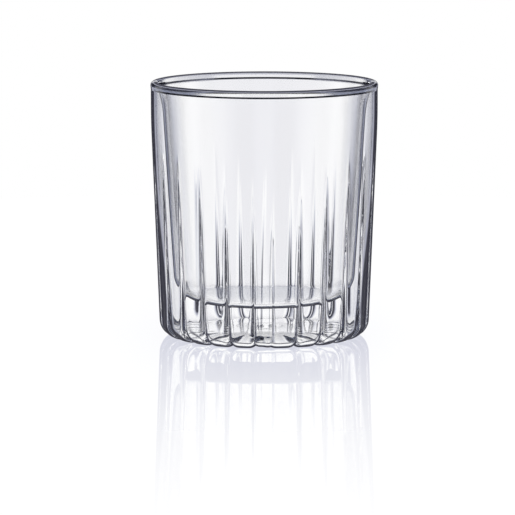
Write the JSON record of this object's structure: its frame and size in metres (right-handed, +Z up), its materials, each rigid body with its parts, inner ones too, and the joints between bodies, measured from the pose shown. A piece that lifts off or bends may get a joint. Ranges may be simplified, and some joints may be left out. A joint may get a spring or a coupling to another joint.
{
  "type": "double-walled tea glass",
  "caption": "Double-walled clear tea glass: a fluted outer shell and a plain tapering inner cup, melted together at a rounded rim, with a sealed air gap between them.",
  "frame": {"origin": "on the table, under the centre of the base", "axes": "+Z up, along the glass's axis; -Y is the front, where the mould's seam is; +X is to the right as seen from the front"},
  "size_m": [0.08, 0.08, 0.09],
  "materials": {
    "shell_glass": "clear blown borosilicate, fire-polished",
    "cup_glass": "clear blown borosilicate, fire-polished",
    "rim_glass": "clear melted borosilicate, rounded and glossy",
    "seal_glass": "clear melted borosilicate drop"
  },
  "bodies": {
    "root": {"outer_shell": "shell_glass", "inner_cup": "cup_glass", "rim_bead": "rim_glass", "vent_seal": "seal_glass"}
  },
  "joints": []
}
